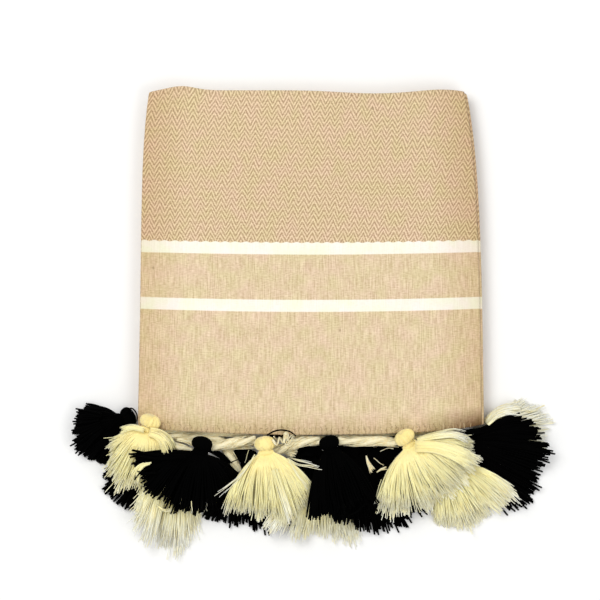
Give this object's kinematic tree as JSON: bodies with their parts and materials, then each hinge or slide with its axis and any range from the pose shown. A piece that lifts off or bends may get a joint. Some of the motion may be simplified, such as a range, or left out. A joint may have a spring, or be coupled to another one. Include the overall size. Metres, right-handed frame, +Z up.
{
  "type": "folded hammam towel",
  "caption": "Woven cotton hammam towel folded into a flat packet, with cream bands, twisted fringe cords and cream and black tassels along its hem.",
  "frame": {"origin": "on the surface the folded towel lies on, under the middle of the folded cloth", "axes": "+X along the hem to the right, +Y from the tasselled hem to the back fold, +Z up"},
  "size_m": [0.4691, 0.448, 0.0516],
  "materials": {
    "cloth": "woven beige cotton, herringbone and plain, with cream bands",
    "cord": "loosely twisted two-strand cream cotton cord",
    "cream_yarn": "fine pale yellow cotton yarn",
    "black_yarn": "thick black cotton yarn with blunt cut ends"
  },
  "bodies": {
    "root": {"towel_cloth": "cloth", "fringe_cord_1": "cord", "fringe_cord_2": "cord", "fringe_cord_3": "cord", "fringe_cord_4": "cord", "fringe_cord_5": "cord", "fringe_cord_6": "cord", "tassel_cream_1": "cream_yarn", "tassel_cream_2": "cream_yarn", "tassel_cream_3": "cream_yarn", "tassel_cream_4": "cream_yarn", "tassel_cream_5": "cream_yarn", "tassel_cream_6": "cream_yarn", "tassel_cream_7": "cream_yarn", "tassel_black_1": "black_yarn", "tassel_black_2": "black_yarn", "tassel_black_3": "black_yarn", "tassel_black_4": "black_yarn", "tassel_black_5": "black_yarn", "tassel_black_6": "black_yarn", "tassel_black_7": "black_yarn", "tassel_black_8": "black_yarn"}
  },
  "joints": []
}
